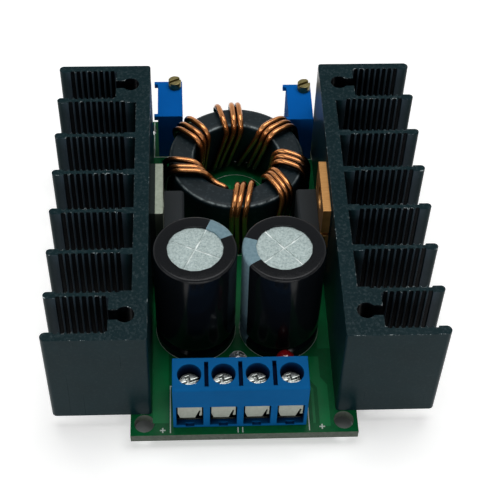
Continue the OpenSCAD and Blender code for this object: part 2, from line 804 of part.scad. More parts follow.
pcb();
solder_joints();
heatsink_left();
heatsink_right();
mirror([1, 0, 0]) device_body(diode_pad_t);  // diode_body
mirror([1, 0, 0]) device_tab(diode_pad_t, "#b9bfae");  // diode_tab
device_leads(diode_leads_at);  // diode_leads
mirror([1, 0, 0]) device_pad(diode_pad_t);  // diode_pad
device_body(regulator_pad_t);  // regulator_body
device_tab(regulator_pad_t, "#b08850");  // regulator_tab
device_leads(regulator_leads_at);  // regulator_leads
device_pad(regulator_pad_t);  // regulator_pad
inductor_core();
for (i = [0:2])
  winding_strand(strand_sides[i]);
for (side = [0, 1]) {
  name = ["left", "right"][side];
  capacitor_can(side);
  capacitor_sleeve(side);
  capacitor_seal(side);
  round_leads([cap_leads[2 * side], cap_leads[2 * side + 1]], top_z + seal_gap);
  trimmer_housing(side);
  trimmer_screw(side);
  round_leads([for (i = [0:2]) trim_pins[3 * side + i]], top_z + trim_foot);
}
terminal_housing();
terminal_contacts();
for (i = [0:3]) {
  terminal_screw(i);
  terminal_leaf(i);
}
led_lens(led_clear_x, "#dfe6e8");  // led_clear_lens
round_leads([led_leads[0], led_leads[1]], top_z);  // led_clear_leads
led_lens(led_red_x, "#b01e28");  // led_red_lens
round_leads([led_leads[2], led_leads[3]], top_z);  // led_red_leads
amplifier_chip();
amplifier_leads();
small_regulator();
shunt_resistor();
chip_resistors();
chip_capacitors();
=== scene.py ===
"""Looks of a power converter module: a green board between two black finned heatsinks, with a wound ring
inductor, two capacitors, a blue screw terminal, two trimmers and two lamps."""

import json

import bpy
import numpy as np
from mathutils import Matrix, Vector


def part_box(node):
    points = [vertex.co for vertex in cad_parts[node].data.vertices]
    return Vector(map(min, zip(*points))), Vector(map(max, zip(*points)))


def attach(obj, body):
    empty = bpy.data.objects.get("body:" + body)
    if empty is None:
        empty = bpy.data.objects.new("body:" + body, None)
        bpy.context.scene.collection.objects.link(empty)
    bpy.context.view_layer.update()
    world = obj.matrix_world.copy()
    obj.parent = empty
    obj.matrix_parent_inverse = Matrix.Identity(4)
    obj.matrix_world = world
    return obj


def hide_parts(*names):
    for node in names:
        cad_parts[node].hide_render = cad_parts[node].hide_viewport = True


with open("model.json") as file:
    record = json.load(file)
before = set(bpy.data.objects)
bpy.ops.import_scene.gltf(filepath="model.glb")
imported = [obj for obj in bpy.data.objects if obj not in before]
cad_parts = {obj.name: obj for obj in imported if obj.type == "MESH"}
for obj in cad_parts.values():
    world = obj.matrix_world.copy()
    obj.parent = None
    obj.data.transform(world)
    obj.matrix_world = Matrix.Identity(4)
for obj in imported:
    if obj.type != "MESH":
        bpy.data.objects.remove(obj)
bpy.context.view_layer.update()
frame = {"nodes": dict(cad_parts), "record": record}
MM = 0.001


# Making a piece from arrays


def box_mm(name):
    """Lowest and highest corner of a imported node, in millimetres."""
    low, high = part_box(name)
    return np.array(low) / MM, np.array(high) / MM


def middle_mm(name):
    """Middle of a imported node's box, in millimetres."""
    low, high = box_mm(name)
    return (low + high) / 2


def unit(v):
    """Vectors divided by their length."""
    return v / np.maximum(np.linalg.norm(v, axis=-1, keepdims=True), 1e-12)


def around(steps):
    """Angles evenly spaced round a circle, in radians."""
    return np.linspace(0, 2 * np.pi, steps, endpoint=False)


def arc(x, y, radius, angle):
    """Points of an arc: its middle, plus the radius times the cosine and the sine of each angle."""
    return np.stack([x + radius * np.cos(angle), y + radius * np.sin(angle)], -1)


def quads(rows, columns, wrap_rows=False, wrap_columns=True):
    """Faces of a grid of points numbered row by row; a normal is the row direction crossed with the
    column's."""
    i = np.arange(rows if wrap_rows else rows - 1)[:, None]
    j = np.arange(columns if wrap_columns else columns - 1)[None, :]
    i2, j2 = (i + 1) % rows, (j + 1) % columns
    corners = [i * columns + j, i2 * columns + j, i2 * columns + j2, i * columns + j2]
    return np.stack(np.broadcast_arrays(*corners), -1).reshape(-1, 4).tolist()


def piece(name, points, faces, finish, slot=None, stands_for=(), body="board", smooth=40, **values):
    """A mesh from points in millimetres and faces, riding on a body; values are numbers per point for its
    finish."""
    mesh = bpy.data.meshes.new(name)
    mesh.from_pydata((np.asarray(points) * MM).tolist(), [], faces)
    for key, numbers in values.items():
        mesh.attributes.new(key, "FLOAT", "POINT").data.foreach_set("value", np.asarray(numbers, np.float32))
    mesh.shade_smooth()
    mesh.set_sharp_from_angle(angle=np.radians(smooth))
    mesh.materials.append(finish)
    obj = bpy.data.objects.new(name, mesh)
    bpy.context.scene.collection.objects.link(obj)
    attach(obj, body)
    if stands_for:
        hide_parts(*stands_for)
    return obj


def soften(obj, width):
    """Joins an object's triangles and rounds its sharp edges by a width in millimetres."""
    weld = obj.modifiers.new("joined_triangles", "WELD")
    weld.merge_threshold = 1e-6
    edge = obj.modifiers.new("soft_edges", "BEVEL")
    edge.width, edge.segments = width * MM, 2
    edge.limit_method, edge.angle_limit = "ANGLE", np.radians(40)
    edge.use_clamp_overlap = False


def joined(parts):
    """Several (points, faces) shapes as one, their faces renumbered."""
    starts = np.cumsum([0] + [len(p) for p, _ in parts[:-1]])
    faces = [[k + start for k in face] for (_, part), start in zip(parts, starts) for face in part]
    return np.concatenate([p for p, _ in parts]), faces


def revolve(profile, centre, steps=96, wave=0.0, closed=True):
    """A profile of radius and height turned round an upright axis; wave adds to the radius. A closed
    profile runs back to its start, and an open one has its two ends covered by flat discs."""
    profile = np.asarray(profile, float)
    angle = around(steps)[:, None]
    radius = profile[None, :, 0] + 0 * angle + wave
    height = np.broadcast_to(centre[2] + profile[None, :, 1:], (*radius.shape, 1))
    points = np.concatenate([arc(centre[0], centre[1], radius, angle), height], -1).reshape(-1, 3)
    columns = len(profile)
    faces = quads(steps, columns, wrap_rows=True, wrap_columns=closed)
    if not closed:
        first = np.arange(steps) * columns
        faces += [first[::-1].tolist(), (first + columns - 1).tolist()]
    return points, faces


def sweep(path, profile, across=None, closed=False, sharpest=0.4):
    """An outline carried along a path, square to it: its first axis lies along `across`, or level where
    none is given, and corners are widened so that a straight run keeps its width, down to the sharpest
    cosine."""
    path, profile = np.asarray(path, float), np.asarray(profile, float)
    ahead = unit(np.roll(path, -1, 0) - path)
    behind = np.roll(ahead, 1, 0)
    if not closed:
        ahead[-1], behind[0] = ahead[-2], ahead[0]
    along = unit(ahead + behind)
    mitre = 1.0
    if across is None:
        across = np.cross(along, [0, 0, 1.0])
        mitre = 1 / np.maximum((along * ahead).sum(1), sharpest)[:, None, None]
    u = unit(across - (across * along).sum(1, keepdims=True) * along)
    w = np.cross(u, along)
    points = path[:, None] + mitre * profile[None, :, :1] * u[:, None] + profile[None, :, 1:] * w[:, None]
    rows, columns = len(path), len(profile)
    faces = quads(rows, columns, wrap_rows=closed)
    if not closed:
        faces += [list(range(columns)), list(range((rows - 1) * columns, rows * columns))[::-1]]
    return points.reshape(-1, 3), faces


def strip_profile(width, height):
    """A flat bar standing on the path, anticlockwise."""
    return np.array([[-width / 2, 0], [width / 2, 0], [width / 2, height], [-width / 2, height]])


def circle_path(centre, radius, z, steps=72):
    """A level circle, anticlockwise."""
    return np.column_stack([arc(centre[0], centre[1], radius, around(steps)), np.full(steps, z)])


# Finishes


def colour(code):
    """An sRGB hex value as a linear colour."""
    c = np.array([int(code[i:i + 2], 16) / 255 for i in (1, 3, 5)])
    return (*np.where(c <= 0.04045, c / 12.92, ((c + 0.055) / 1.055) ** 2.4), 1.0)


def per(size_mm):
    """The scale at which a pattern's features are that many millimetres wide."""
    return 1 / (size_mm * MM)


def add(tree, kind, settings=None, **sockets):
    """Adds a node, sets its settings, and sets each input or links it to a socket or to a node's first live
    output: `Base_Color` is the input Base Color, and `i3` is input 3."""
    made = tree.nodes.new("ShaderNode" + kind)
    for key, value in (settings or {}).items():
        setattr(made, key, value)
    for key, value in sockets.items():
        socket = made.inputs[int(key[1:]) if key[1:].isdigit() else key.replace("_", " ")]
        if isinstance(value, bpy.types.Node):
            value = next(output for output in value.outputs if output.enabled)
        if isinstance(value, bpy.types.NodeSocket):
            tree.links.new(value, socket)
        else:
            socket.default_value = value
    return made


def start(name):
    """An empty material: its tree, and the place on the piece in metres."""
    material = bpy.data.materials.new(name)
    material.use_nodes = True
    tree = material.node_tree
    tree.nodes.clear()
    return material, tree, add(tree, "TexCoord").outputs["Object"]


def finished(tree, **sockets):
    """The surface itself, from its Principled inputs."""
    surface = add(tree, "BsdfPrincipled", **sockets)
    add(tree, "OutputMaterial", Surface=surface)


MIX = {"data_type": "RGBA"}
TIMES, LARGER, SIZE_OF = {"operation": "MULTIPLY"}, {"operation": "MAXIMUM"}, {"operation": "ABSOLUTE"}


def anodised_aluminium():
    """Extruded aluminium, black anodised: dark satin with faint upright die lines, painted shade on the
    floors of its grooves and cells and a painted highlight on the crests between the grooves, speckled on its
    sawn ends and bright where edges are knocked. Real die lines and specks are about 0.1 mm wide, too fine to
    show, so both are drawn coarser."""
    material, tree, place = start("anodised_aluminium")
    stretched = add(tree, "Mapping", Vector=place, Scale=(per(0.35), per(0.35), per(30)))
    die_lines = add(tree, "TexNoise", Vector=stretched, Scale=1.0, Detail=3.0)
    cloud = add(tree, "TexNoise", Vector=place, Scale=per(5), Detail=4.0)
    flat = add(tree, "Mix", MIX, i0=cloud, i6=colour("#091e22"), i7=colour("#11292e"))
    # Painted shade and highlight: where the attribute is 1, on groove and cell floors, the colour turns near
    # black; where it is -1, on the crests, it turns to a pale painted highlight
    hollow = add(tree, "Attribute", {"attribute_name": "hollow"})
    painted_crest_highlight = add(tree, "MapRange", Value=hollow.outputs["Fac"], From_Min=0.0, From_Max=-1.0)
    pale = add(tree, "Mix", MIX, i0=painted_crest_highlight, i6=flat, i7=colour("#35424c"))
    painted_groove_shade = add(tree, "Mix", MIX, i0=hollow.outputs["Fac"], i6=pale, i7=colour("#030509"))
    knocks = add(tree, "TexNoise", Vector=place, Scale=per(1.1), Detail=6.0, Roughness=0.75)
    edge = add(tree, "Attribute", {"attribute_name": "edge"})
    picked = add(tree, "MapRange", Value=knocks, From_Min=0.56, From_Max=0.64)
    worn = add(tree, "Math", TIMES, i0=edge.outputs["Fac"], i1=picked)
    specks = add(tree, "TexNoise", Vector=place, Scale=per(0.45), Detail=4.0, Roughness=0.7)
    facing = add(tree, "NewGeometry")
    upright = add(tree, "SeparateXYZ", Vector=facing.outputs["Normal"])
    sawn = add(tree, "MapRange", Value=upright.outputs[2], To_Min=0.12, To_Max=0.55)
    dusty = add(tree, "MapRange", Value=specks, From_Min=0.5, From_Max=0.75, To_Max=sawn)
    skin = add(tree, "Mix", MIX, i0=dusty, i6=painted_groove_shade, i7=colour("#4a585c"))
    shade = add(tree, "Mix", MIX, i0=worn, i6=skin, i7=colour("#a3adaf"))
    sheen = add(tree, "MapRange", Value=die_lines, To_Min=0.24, To_Max=0.36)
    relief = add(tree, "Bump", Height=die_lines, Strength=0.12, Distance=0.05 * MM)
    finished(tree, Base_Color=shade, Roughness=sheen, Metallic=worn, Specular_IOR_Level=0.06, Normal=relief)
    return material


def solder_mask():
    """Glass epoxy board with glossy green mask: weave shows faintly through it, and the sawn edge is bare
    laminate. The weave is drawn at 0.8 mm, coarser than real glass cloth, so that it shows."""
    material, tree, place = start("solder_mask")
    cloud = add(tree, "TexNoise", Vector=place, Scale=per(7), Detail=3.0)
    weave = add(tree, "TexChecker", Vector=place, Scale=per(0.8))
    green = add(tree, "Mix", MIX, i0=cloud, i6=colour("#074a28"), i7=colour("#0c6637"))
    threads = add(tree, "Mix", {**MIX, "blend_type": "MULTIPLY"}, i0=0.12, i6=green, i7=weave)
    grit = add(tree, "TexNoise", Vector=place, Scale=per(0.6), Detail=6.0, Roughness=0.7)
    laminate = add(tree, "Mix", MIX, i0=grit, i6=colour("#333a34"), i7=colour("#6f776d"))
    facing = add(tree, "NewGeometry")
    height = add(tree, "SeparateXYZ", Vector=facing.outputs["Normal"])
    level = add(tree, "Math", SIZE_OF, i0=height.outputs[2])
    flat = add(tree, "Math", {"operation": "GREATER_THAN"}, i0=level, i1=0.5)
    shade = add(tree, "Mix", MIX, i0=flat, i6=laminate, i7=threads)
    gloss = add(tree, "MapRange", Value=flat, To_Min=0.7, To_Max=0.24)
    relief = add(tree, "Bump", Height=cloud, Strength=0.2, Distance=0.1 * MM)
    finished(tree, Base_Color=shade, Roughness=gloss, Specular_IOR_Level=0.1, Normal=relief)
    return material


def masked_copper():
    """Copper track under green mask: a little lighter and smoother than the mask over bare laminate."""
    material, tree, place = start("masked_copper")
    cloud = add(tree, "TexNoise", Vector=place, Scale=per(3), Detail=3.0)
    green = add(tree, "Mix", MIX, i0=cloud, i6=colour("#0b6236"), i7=colour("#127a44"))
    finished(tree, Base_Color=green, Roughness=0.22, Specular_IOR_Level=0.14)
    return material


def legend_ink():
    """Screen printed white epoxy ink: matt, slightly thin where the mesh left it uneven. The mesh is drawn
    at 0.4 mm, coarser than a real screen, so that it shows."""
    material, tree, place = start("legend_ink")
    thin = add(tree, "TexNoise", Vector=place, Scale=per(0.4), Detail=4.0)
    white = add(tree, "Mix", MIX, i0=thin, i6=colour("#8ea697"), i7=colour("#d5ddd7"))
    finished(tree, Base_Color=white, Roughness=0.6)
    return material


def add_painted_shade(tree, shade, painted_shade_colour, reach_mm, local, dark, light):
    """A colour with painted shade: it turns into the given shade colour where surfaces within reach close it
    in.
    """
    shelter = add(tree, "AmbientOcclusion", {"samples": 8, "only_local": local}, Distance=reach_mm * MM)
    bare = add(tree, "MapRange", Value=shelter.outputs["AO"], From_Min=dark, From_Max=light)
    return add(tree, "Mix", MIX, i0=bare, i6=colour(painted_shade_colour), i7=shade)


def metal(name, low, high, rough, grain_mm, stretch=(1, 1, 1), bump=0.15, metallic=1.0, coat=0.0,
          painted_shade_colour=None):
    """A bare or plated metal: its two shades and its roughness follow one grain, drawn out where it was drawn
    or cut, and where a shade colour is given, shade is painted where it lies sheltered. Real turning and
    rolling marks are too fine to show, so the grain is drawn coarser."""
    material, tree, place = start(name)
    drawn = add(tree, "Mapping", Vector=place, Scale=tuple(per(grain_mm * s) for s in stretch))
    grain = add(tree, "TexNoise", Vector=drawn, Scale=1.0, Detail=4.0)
    shade = add(tree, "Mix", MIX, i0=grain, i6=colour(low), i7=colour(high))
    # Painted shade where the metal lies sheltered
    if painted_shade_colour:
        shade = add_painted_shade(tree, shade, painted_shade_colour, reach_mm=9.0, local=False, dark=0.4, light=0.82)
    sheen = add(tree, "MapRange", Value=grain, To_Min=rough * 0.75, To_Max=rough * 1.3)
    relief = add(tree, "Bump", Height=grain, Strength=bump, Distance=0.04 * MM)
    finished(tree, Base_Color=shade, Roughness=sheen, Metallic=metallic, Coat_Weight=coat, Normal=relief)
    return material


def moulded(name, low, high, rough, grain_mm, bump=0.1, shine=0.3, recess_mm=0, painted_shade_colour=None):
    """A moulded plastic or resin: nearly one colour, with the fine skin of the mould in its gloss, and, where
    a shade colour is given, painted shade in recesses of about the given size. The skin is drawn coarser
    than a real mould leaves it, so that it shows."""
    material, tree, place = start(name)
    skin = add(tree, "TexNoise", Vector=place, Scale=per(grain_mm), Detail=5.0)
    flow = add(tree, "TexNoise", Vector=place, Scale=per(6), Detail=2.0)
    shade = add(tree, "Mix", MIX, i0=flow, i6=colour(low), i7=colour(high))
    # Painted shade in the moulding's recesses
    if painted_shade_colour:
        shade = add_painted_shade(tree, shade, painted_shade_colour, recess_mm, local=True, dark=0.4, light=0.95)
    sheen = add(tree, "MapRange", Value=skin, To_Min=rough * 0.8, To_Max=rough * 1.25)
    relief = add(tree, "Bump", Height=skin, Strength=bump, Distance=0.05 * MM)
    finished(tree, Base_Color=shade, Roughness=sheen, Specular_IOR_Level=shine, Normal=relief)
    return material


def core_coating():
    """Pressed iron powder ring in dark epoxy paint: satin and slightly pitted, with a painted highlight along
    its top edges, broken up by noise. The powder's pits are drawn at 0.5 mm, coarser than they are, so that
    they show."""
    material, tree, place = start("core_coating")
    pits = add(tree, "TexNoise", Vector=place, Scale=per(0.5), Detail=5.0)
    cloud = add(tree, "TexNoise", Vector=place, Scale=per(4), Detail=3.0)
    paint = add(tree, "Mix", MIX, i0=cloud, i6=colour("#0b171b"), i7=colour("#15242a"))
    dust = add(tree, "MapRange", Value=pits, From_Min=0.55, From_Max=0.75, To_Max=0.35)
    grey = add(tree, "Mix", MIX, i0=dust, i6=paint, i7=colour("#46535a"))
    # Painted highlight along the top edges, from the edge attribute, broken up by noise
    edge = add(tree, "Attribute", {"attribute_name": "edge"})
    highlight_breaks = add(tree, "TexNoise", Vector=place, Scale=per(1.4), Detail=6.0, Roughness=0.7)
    picked = add(tree, "MapRange", Value=highlight_breaks, From_Min=0.36, From_Max=0.6)
    worn = add(tree, "Math", TIMES, i0=edge.outputs["Fac"], i1=picked)
    shade = add(tree, "Mix", MIX, i0=worn, i6=grey, i7=colour("#b4c0c2"))
    sheen = add(tree, "MapRange", Value=pits, To_Min=0.34, To_Max=0.5)
    relief = add(tree, "Bump", Height=pits, Strength=0.25, Distance=0.08 * MM)
    finished(tree, Base_Color=shade, Roughness=sheen, Specular_IOR_Level=0.18, Normal=relief)
    return material


def shrink_sleeve(name, centre, stripe_from, stripe_to):
    """Shrunk black film, glossy and faintly rippled, printed with one pale polarity stripe that wraps over
    the rim. The stripe lies between two angles round the can, in degrees."""
    material, tree, place = start(name)
    middle = add(tree, "Mapping", Vector=place, Location=(-centre[0] * MM, -centre[1] * MM, 0))
    axes = add(tree, "SeparateXYZ", Vector=middle)
    angle = add(tree, "Math", {"operation": "ARCTAN2"}, i0=axes.outputs[1], i1=axes.outputs[0])
    half = np.radians(stripe_to - stripe_from) / 2
    off = add(tree, "Math", {"operation": "SUBTRACT"}, i0=angle, i1=np.radians(stripe_from + stripe_to) / 2)
    wrapped = add(tree, "Math", {"operation": "WRAP"}, i0=off, i1=np.pi, i2=-np.pi)
    stripe = add(tree, "Math", {"operation": "COMPARE"}, i0=wrapped, i1=0.0, i2=half)
    speckle = add(tree, "TexNoise", Vector=place, Scale=per(0.5), Detail=5.0)
    pale = add(tree, "Mix", MIX, i0=speckle, i6=colour("#56737e"), i7=colour("#8eaab5"))
    film = add(tree, "Mix", MIX, i0=speckle, i6=colour("#07090c"), i7=colour("#101317"))
    shade = add(tree, "Mix", MIX, i0=stripe, i6=film, i7=pale)
    ripple = add(tree, "TexNoise", Vector=place, Scale=per(2.5), Detail=2.0)
    relief = add(tree, "Bump", Height=ripple, Strength=0.15, Distance=0.2 * MM)
    finished(tree, Base_Color=shade, Roughness=0.16, Specular_IOR_Level=0.16, Normal=relief)
    return material


def drawn_can(name, centre, turn, score_mm=0.08):
    """Drawn aluminium, pale and satin, speckled by the press, with a cross scored into its top and a broken
    highlight painted along the scores. The speckle is drawn at 0.28 mm, coarser than the press leaves it, so
    that it shows."""
    material, tree, place = start(name)
    # A highlight is painted along the scored cross, broken up by noise
    cross = add(tree, "Mapping", {"vector_type": "TEXTURE"}, Vector=place,
                Rotation=(0, 0, np.radians(turn)), Location=(centre[0] * MM, centre[1] * MM, 0))
    axes = add(tree, "SeparateXYZ", Vector=cross)
    sides = [add(tree, "Math", SIZE_OF, i0=axes.outputs[k]) for k in (0, 1)]
    near = add(tree, "Math", {"operation": "MINIMUM"}, i0=sides[0], i1=sides[1])
    line = add(tree, "MapRange", Value=near, From_Min=score_mm * MM,
               From_Max=2.2 * score_mm * MM, To_Min=1.0, To_Max=0.0)
    broken = add(tree, "TexNoise", Vector=place, Scale=per(1.6), Detail=3.0)
    kept = add(tree, "MapRange", Value=broken, From_Min=0.4, From_Max=0.62)
    score_highlight = add(tree, "Math", TIMES, i0=line, i1=kept)
    press = add(tree, "TexNoise", Vector=place, Scale=per(0.28), Detail=4.0, Roughness=0.65)
    speck = add(tree, "MapRange", Value=press, From_Min=0.3, From_Max=0.7)
    grey = add(tree, "Mix", MIX, i0=speck, i6=colour("#7c8b89"), i7=colour("#b5c3c2"))
    shade = add(tree, "Mix", MIX, i0=score_highlight, i6=grey, i7=colour("#dfe6e4"))
    sheen = add(tree, "MapRange", Value=press, To_Min=0.35, To_Max=0.6)
    relief = add(tree, "Bump", Height=press, Strength=0.3, Distance=0.04 * MM)
    finished(tree, Base_Color=shade, Roughness=sheen, Metallic=0.5, Normal=relief)
    return material


def cast_epoxy(name, tint, clear):
    """Cast lamp epoxy: clear or tinted right through, so the frame inside shows, with flow marks in its
    skin."""
    material, tree, place = start(name)
    flow = add(tree, "TexNoise", Vector=place, Scale=per(1.2), Detail=2.0)
    relief = add(tree, "Bump", Height=flow, Strength=0.08, Distance=0.1 * MM)
    finished(tree, Base_Color=colour(tint), Roughness=0.04, IOR=1.5, Transmission_Weight=clear,
             Coat_Weight=1.0, Normal=relief)
    return material


anodised = anodised_aluminium()
tracks = masked_copper()
ink = legend_ink()
core_paint = core_coating()
# Drawn copper wire under clear enamel: warm, very glossy, with painted shade between turns and inside the
# ring
enamel = metal("enamelled_copper", "#8f5021", "#e09a5a", rough=0.18, grain_mm=1.6, bump=0.05, metallic=0.82,
               coat=0.4, painted_shade_colour="#120804")
# Dull tin plate on copper alloy, drawn out upright
tin = metal("tin_plate", "#757d70", "#9ba394", rough=0.4, grain_mm=0.5, stretch=(1, 1, 4), metallic=0.85)
# Silver plated frame inside a lamp, bright
silvered = metal("silver_plate", "#aab4b6", "#dfe5e5", rough=0.22, grain_mm=0.4, metallic=0.85)
# Sheared copper tab, bare on its edges, where the shear drew it out
copper = metal("sheared_copper", "#8d6134", "#c2935b", rough=0.4, grain_mm=0.4, stretch=(4, 0.4, 4), bump=0.4,
               metallic=0.9)
# Zinc plated steel screws, bright with fine turning marks
plated = metal("zinc_plate", "#989d99", "#cdd2ce", rough=0.28, grain_mm=0.3)
# Rolled and stamped strip of the clamping leaves, duller than the screws
leaf_metal = metal("stamped_strip", "#868a80", "#abb0a6", rough=0.45, grain_mm=0.4, stretch=(1, 4, 1),
                   metallic=0.5)
# Tinned strip of the fixed contacts, dull, with painted shade in its chamber
contact_metal = metal("tinned_strip", "#7f877a", "#a6ae9f", rough=0.4, grain_mm=0.5, metallic=0.85,
                      painted_shade_colour="#06080b")
# Turned brass, a little tarnished
brass = metal("turned_brass", "#57502f", "#9a8f62", rough=0.36, grain_mm=0.5)
# Bright tin solder
solder = metal("tin_solder", "#9ea2a6", "#d4d7da", rough=0.28, grain_mm=0.6, metallic=0.9)
# Glass filled nylon of the terminal, strong blue and satin, with painted shade in its recesses
terminal_blue = moulded("blue_nylon", "#085188", "#0d5f9b", rough=0.6, grain_mm=0.25, shine=0.03,
                        recess_mm=5.0, painted_shade_colour="#021433")
# Polyester of the trimmers, a purer blue
trimmer_blue = moulded("blue_polyester", "#0559aa", "#0766bd", rough=0.7, grain_mm=0.3, shine=0.03)
# Black epoxy moulding compound, matt with a fine stone grain
compound = moulded("moulding_compound", "#14191b", "#20262a", rough=0.55, grain_mm=0.2, bump=0.35, shine=0.2)
# Dark grey silicone pad, matt
silicone = moulded("silicone_pad", "#141c1b", "#1d2625", rough=0.75, grain_mm=0.3, bump=0.3, shine=0.15)
# Black rubber plug, matt
rubber = moulded("seal_rubber", "#141516", "#1f2021", rough=0.7, grain_mm=0.3, bump=0.3)
# Thick film resistors, black glaze
glaze = moulded("resistor_glaze", "#1c1c1d", "#2e2e30", rough=0.35, grain_mm=0.3)
# Tan fired ceramic
ceramic = moulded("fired_ceramic", "#9c8361", "#c3a984", rough=0.45, grain_mm=0.3)
clear_epoxy = cast_epoxy("clear_epoxy", "#f2f6f6", clear=0.97)
red_epoxy = cast_epoxy("red_epoxy", "#a3101a", clear=0.5)

slot_finish = {
    "solder_mask": solder_mask(), "solder": solder, "black_anodised": anodised, "moulding_compound": compound,
    "tinned_metal": tin, "bare_copper": copper, "silicone_pad": silicone, "core_coating": core_paint,
    "enamelled_copper": enamel, "seal_rubber": rubber, "terminal_blue": terminal_blue, "plated_steel": plated,
    "clear_epoxy": clear_epoxy, "red_epoxy": red_epoxy, "trimmer_blue": trimmer_blue, "brass_screw": brass,
    "chip_black": glaze, "chip_ceramic": ceramic,
}
# Nodes with a finish of their own; each capacitor's stripe and cross are turned as listed, in degrees
node_finish = {"terminal_contacts": contact_metal}
for side, stripe, cross_turn in (("left", (24, 66), 65), ("right", (161, 212), 40)):
    at = middle_mm(f"capacitor_{side}_sleeve")
    node_finish[f"capacitor_{side}_sleeve"] = shrink_sleeve(f"shrink_sleeve_{side}", at, *stripe)
    node_finish[f"capacitor_{side}_can"] = drawn_can(f"drawn_aluminium_{side}", at, cross_turn)
for part in frame["record"]["subparts"]:
    mesh = frame["nodes"][part["node"]].data
    mesh.materials.clear()
    mesh.materials.append(node_finish.get(part["node"]) or slot_finish[part["material_slot"]])

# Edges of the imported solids, softened as a mould or a press leaves them, in millimetres
soft_edges = {
    "terminal_housing": 0.1, "diode_body": 0.15, "regulator_body": 0.15, "diode_tab": 0.06,
    "regulator_tab": 0.06, "pcb": 0.05, "capacitor_left_can": 0.04, "capacitor_right_can": 0.04,
    "trimmer_left_screw": 0.1, "trimmer_right_screw": 0.1,
    **{f"terminal_screw_{i}": 0.1 for i in range(1, 5)},
}
for name, width in soft_edges.items():
    soften(frame["nodes"][name], width)


# Heatsinks


def marked(points, mark):
    """Outline points with a mark beside each."""
    return np.column_stack([points, np.broadcast_to(mark, len(points))])


def heatsink_outline(depth, length, wall=2.3, fins=8, fin=1.2, end_fin=1.5, end_cell=7.2, pitch=0.94,
                     deep=0.28, grooves=10, tip=1.8, boss=5.6, channel=1.35, channel_in=3.2, mouth=1.7,
                     corner=0.5, ridge=0.2, slope=0.1, clear=0.02):
    """The extrusion's section seen from above, from its inner face outwards: fins with grooved sides and
    round tips on one wall with round corners, the two end cells part filled by a boss with a keyhole
    channel. Anticlockwise; the third column is 1 on the floors of the grooves and cells, where shade is
    painted, and -1 on the crests between the grooves, where a highlight is painted."""
    first = end_fin / 2 + end_cell
    inner_fins = np.linspace(first, length - first, fins - 2)
    places = np.concatenate([[end_fin / 2], inner_fins, [length - end_fin / 2]])
    half = np.array([end_fin] + [fin] * (fins - 2) + [end_fin]) / 2
    cell_floor = [boss if cell in (0, fins - 2) else wall for cell in range(fins - 1)]
    starts = depth - tip - pitch * np.arange(grooves, 0, -1)
    # The third column of a groove marks painted shade on its floor and a painted highlight on its crests
    groove = np.array([[ridge, 0, -1], [ridge + slope, 1, 1], [pitch - slope, 1, 1], [pitch, 0, -1]])
    groove_x = (starts[:, None] + groove[:, 0]).ravel()
    sunk, hollow = np.tile(groove[:, 1], grooves) * deep, np.tile(groove[:, 2], grooves)
    round_tip, quarter = np.radians(np.linspace(-90, 90, 13)), np.radians(np.linspace(0, 90, 7))
    gap = np.arcsin(mouth / 2 / channel)
    round_hole = np.linspace(-gap, gap - 2 * np.pi, 30)

    def flank(y, inwards, floor):
        """One side of a fin, from the floor of its cell outwards along the grooves."""
        grooved = marked(np.column_stack([groove_x, y + inwards * sunk]), hollow)
        return np.concatenate([marked([(floor, y)], 1), grooved[groove_x > floor + clear]])

    parts = [marked(arc(corner, corner, corner, quarter + np.pi), 0)]
    for i, (y, h) in enumerate(zip(places, half)):
        if i > 0:
            parts.append(flank(y - h, 1, cell_floor[i - 1]))
        parts.append(marked(arc(depth - h, y, h, round_tip), 0))
        if i < fins - 1:
            parts.append(flank(y + h, -1, cell_floor[i])[::-1])
        if i in (0, fins - 2):
            middle = (y + places[i + 1]) / 2
            keyhole = [[(boss, middle - mouth / 2)], arc(channel_in, middle, channel, round_hole),
                       [(boss, middle + mouth / 2)]]
            parts.append(marked(np.concatenate(keyhole), 1))
    parts.append(marked(arc(corner, length - corner, corner, quarter + np.pi / 2), 0))
    return np.concatenate(parts)


def extruded(outline, hollow, low, high, soft=0.045, fade=4, sharpest=0.5):
    """An outline carried straight up between two heights, with its top and bottom edges chamfered; edge is
    1 on the chamfers and fades to 0, and the mark for painted shade and highlight is what the outline says on
    the walls and 0 on the ends."""
    ahead = unit(np.roll(outline, -1, 0) - outline)
    out = np.stack([ahead[:, 1], -ahead[:, 0]], -1)
    mean = unit(out + np.roll(out, 1, 0))
    mean = mean / np.maximum((mean * out).sum(1, keepdims=True), sharpest)
    # Each level's height, its inset in chamfer widths, its edge, and whether it belongs to the walls
    levels = [(low, 2, 0, 0), (low, 1, 1, 0), (low + soft, 0, 1, 1), (low + fade * soft, 0, 0, 1),
              (high - fade * soft, 0, 0, 1), (high - soft, 0, 1, 1), (high, 1, 1, 0), (high, 2, 0, 0)]
    n = len(outline)
    rings = [np.column_stack([outline - mean * soft * inset, np.full(n, z)]) for z, inset, _, _ in levels]
    faces = [face[::-1] for face in quads(len(levels), n)]
    top = (len(levels) - 1) * n
    faces += [list(range(n))[::-1], list(range(top, top + n))]
    edge = np.repeat([worn for _, _, worn, _ in levels], n)
    return np.concatenate(rings), faces, edge, np.concatenate([hollow * wall for _, _, _, wall in levels])


for side, sign in (("left", -1), ("right", 1)):
    low, high = box_mm(f"heatsink_{side}")
    x, y, hollow = heatsink_outline(high[0] - low[0], high[1] - low[1])[::sign].T
    outline = np.stack([(low[0] if sign > 0 else high[0]) + sign * x, low[1] + y], -1)
    points, faces, worn, hollow = extruded(outline, hollow, low[2], high[2])
    piece(f"finned_heatsink_{side}", points, faces, anodised, "black_anodised", [f"heatsink_{side}"],
          edge=worn, hollow=hollow)


# Ring inductor

core_low, core_high = box_mm("inductor_core")
core_at = (core_low + core_high) / 2
core_r = (core_high[0] - core_low[0]) / 2
# The hole's radius and the rounding of the edges, which the ring's box doesn't tell
core_hole_r, core_round = 7.0, 0.9
core_steps, corner_steps = 160, 16


